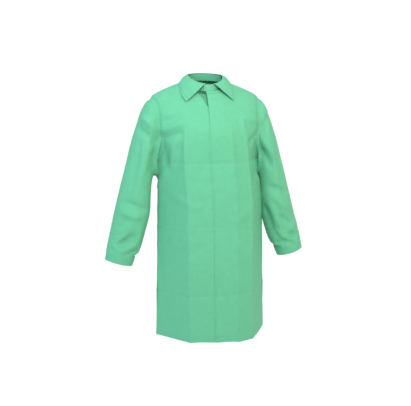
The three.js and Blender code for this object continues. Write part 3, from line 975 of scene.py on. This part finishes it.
def new_material(name, colour, roughness):
    material = bpy.data.materials.new(name)
    material.use_nodes = True
    tree = material.node_tree
    shader = next(n for n in tree.nodes if n.type == "BSDF_PRINCIPLED")
    shader.inputs["Base Color"].default_value = (*colour, 1)
    shader.inputs["Roughness"].default_value = roughness
    return material, tree, shader


def new_fabric(name, colour, roughness, scale, strength, stitched=False):
    """A fabric with small lumps all over it, and perhaps with its rows of stitches."""
    material, tree, shader = new_material(name, colour, roughness)
    place = tree.nodes.new("ShaderNodeTexCoord")
    cells = tree.nodes.new("ShaderNodeTexVoronoi")
    cells.inputs["Scale"].default_value = scale
    lumps = tree.nodes.new("ShaderNodeBump")
    lumps.inputs["Strength"].default_value = strength
    lumps.inputs["Distance"].default_value = WEAVE_DEPTH
    tree.links.new(place.outputs["Object"], cells.inputs["Vector"])
    tree.links.new(cells.outputs["Distance"], lumps.inputs["Height"])
    tree.links.new(lumps.outputs["Normal"], shader.inputs["Normal"])
    if stitched:
        add_stitches(tree, shader, place, colour)
    return material


def new_colour_mix(tree, a=None, b=None):
    mix = tree.nodes.new("ShaderNodeMix")
    mix.data_type = "RGBA"
    for socket, colour in (("A", a), ("B", b)):
        if colour:
            mix.inputs[socket].default_value = (*colour, 1)
    return mix


def add_stitches(tree, shader, place, colour):
    """Mottles the cloth's colour a little and draws a darker line along its rows of stitches."""
    row = tree.nodes.new("ShaderNodeAttribute")
    row.attribute_name = "stitch_distance"
    line = tree.nodes.new("ShaderNodeMapRange")
    line.inputs["From Min"].default_value, line.inputs["From Max"].default_value = STITCH_HALF_WIDTH
    line.inputs["To Min"].default_value = 1.0
    line.inputs["To Max"].default_value = 0.0
    mottle = tree.nodes.new("ShaderNodeTexNoise")
    mottle.inputs["Scale"].default_value = MOTTLE_SCALE
    tint = new_colour_mix(tree, [c * (1 - MOTTLE) for c in colour], [c * (1 + MOTTLE) for c in colour])
    thread = new_colour_mix(tree, b=[c * STITCH_SHADE for c in colour])
    tree.links.new(row.outputs["Fac"], line.inputs["Value"])
    tree.links.new(place.outputs["Object"], mottle.inputs["Vector"])
    tree.links.new(mottle.outputs["Fac"], tint.inputs["Factor"])
    tree.links.new(line.outputs["Result"], thread.inputs["Factor"])
    tree.links.new(tint.outputs["Result"], thread.inputs["A"])
    tree.links.new(thread.outputs["Result"], shader.inputs["Base Color"])


def paint(obj, material):
    obj.data.materials.clear()
    obj.data.materials.append(material)


# ---- assembling ----

nonwoven = new_fabric("nonwoven_green", (0.085, 0.345, 0.203), 0.8, 600, 0.25, stitched=True)
elastic_green = new_fabric("elastic_green", (0.25, 0.66, 0.42), 0.8, 900, 0.3)
tape_white = new_fabric("tape_white", (0.72, 0.82, 0.77), 0.9, 1400, 0.5)

cloth = hung_cloth()
pieces = coat_pieces(cloth)
objects = {}
for name, piece in pieces.items():
    if name.endswith("_tape"):
        objects[name] = cloth_piece(name, [(piece, TAPE_THICKNESS)])
        paint(objects[name], tape_white)
    else:
        layers = [(part, THICKNESS) for part in [piece] + turnings(name, piece)]
        objects[name] = cloth_piece(name, layers)
        paint(objects[name], nonwoven)

stand, _ = grid_piece("collar_stand_cloth", collar_stand_grid(), COLLAR_THICKNESS)
leaf_left, leaf_left_cloth = grid_piece("collar_leaf_left_cloth", leaf_grid(1), COLLAR_THICKNESS)
leaf_right, leaf_right_cloth = grid_piece("collar_leaf_right_cloth", leaf_grid(-1), COLLAR_THICKNESS)
for obj in (stand, leaf_left, leaf_right):
    paint(obj, nonwoven)

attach(objects["back_cloth"], "torso")
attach(stand, "torso")
for side, sign in (("left", 1), ("right", -1)):
    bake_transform(objects[f"front_{side}_cloth"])
    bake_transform(objects[f"sleeve_{side}_upper_cloth"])
    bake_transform(objects[f"sleeve_{side}_lower_cloth"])
for row in range(1, len(TAPE_ROWS) + 1):
    for kind, side, sign in (("hook", "right", -1), ("loop", "left", 1)):
        tape = objects[f"{kind}_patch_{row}_tape"]
        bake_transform(tape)
        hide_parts(f"{kind}_patch_{row}")
for side, sign, leaf in (("left", 1, leaf_left), ("right", -1, leaf_right)):
    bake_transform(leaf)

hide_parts("back_panel")
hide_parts("collar_stand")
for side, leaf in (("left", leaf_left), ("right", leaf_right)):
    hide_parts(f"front_{side}_side", f"front_{side}_flap")
    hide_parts(f"sleeve_{side}_upper")
    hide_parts(f"sleeve_{side}_lower")
    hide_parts(f"collar_leaf_{side}")
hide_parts("collar_leaf_back")

for name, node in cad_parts.items():
    if name.startswith("cuff_elastic"):
        paint(node, elastic_green)

# What each piece was cut as, before it was sewn: width and length.
CUTS = {
    "back_cloth": (0.60, 1.02),
    "front_left_cloth": (0.40, 1.02),
    "front_right_cloth": (0.40, 1.02),
    "upper_cloth": (0.52, 0.46),
    "lower_cloth": (0.40, 0.26),
    "_tape": (TAPE_WIDTH, TAPE_HEIGHT),
}
for name, obj in objects.items():
    cut = next(CUTS[k] for k in CUTS if name.endswith(k))
    area = min(flat_area(pieces[name]), cut[0] * cut[1])
flat_area(leaf_left_cloth)
flat_area(leaf_right_cloth)

# ---- studio ----

FLOOR_Z, FLOOR_REACH = -1.55, 30
floor_mesh = bpy.data.meshes.new("floor")
corners = [(x * FLOOR_REACH, y * FLOOR_REACH, FLOOR_Z) for x, y in ((-1, -1), (1, -1), (1, 1), (-1, 1))]
floor_mesh.from_pydata(corners, [], [(0, 1, 2, 3)])
floor = bpy.data.objects.new("floor", floor_mesh)
bpy.context.scene.collection.objects.link(floor)
paint(floor, new_material("floor_white", (0.97, 0.97, 0.97), 0.9)[0])

world = bpy.data.worlds.new("studio")
bpy.context.scene.world = world
world.use_nodes = True
background = next(n for n in world.node_tree.nodes if n.type == "BACKGROUND")
background.inputs["Color"].default_value = (1, 1, 1, 1)
background.inputs["Strength"].default_value = 1.06


def area_light(name, place, target, size, power, colour, spread=180):
    data = bpy.data.lights.new(name, "AREA")
    data.shape = "RECTANGLE"
    data.size, data.size_y = size
    data.energy = power
    data.color = colour
    data.spread = math.radians(spread)
    obj = bpy.data.objects.new(name, data)
    obj.location = place
    obj.rotation_euler = (Vector(target) - Vector(place)).to_track_quat("-Z", "Y").to_euler()
    bpy.context.scene.collection.objects.link(obj)


area_light("key", (-0.4, -2.2, 1.5), (0, 0, -0.05), (0.8, 0.8), 9.5, (0.92, 1.0, 0.97), 70)
area_light("cool_side", (-2.4, -1.2, 1.2), (0, 0, -0.3), (1.0, 1.5), 23, (0.15, 0.85, 1.0))
area_light("warm_side", (1.9, -2.3, 0.1), (0, 0, -0.4), (0.8, 1.2), 4.2, (1.0, 0.85, 0.12), 90)

camera = bpy.data.objects.new("camera", bpy.data.cameras.new("camera"))
bpy.context.scene.collection.objects.link(camera)
AZIMUTH, ELEVATION, DISTANCE = math.radians(-16), math.radians(10.2), 2.84
back_vector = Vector((
    math.sin(AZIMUTH) * math.cos(ELEVATION),
    -math.cos(AZIMUTH) * math.cos(ELEVATION),
    math.sin(ELEVATION),
))
camera.location = Vector((-0.004, -0.02, -0.47)) + back_vector * DISTANCE
camera.rotation_euler = back_vector.to_track_quat("Z", "Y").to_euler()
camera.data.lens = 62.98
camera.data.sensor_width = 36
bpy.context.scene.camera = camera
bpy.context.scene.view_settings.view_transform = "Standard"
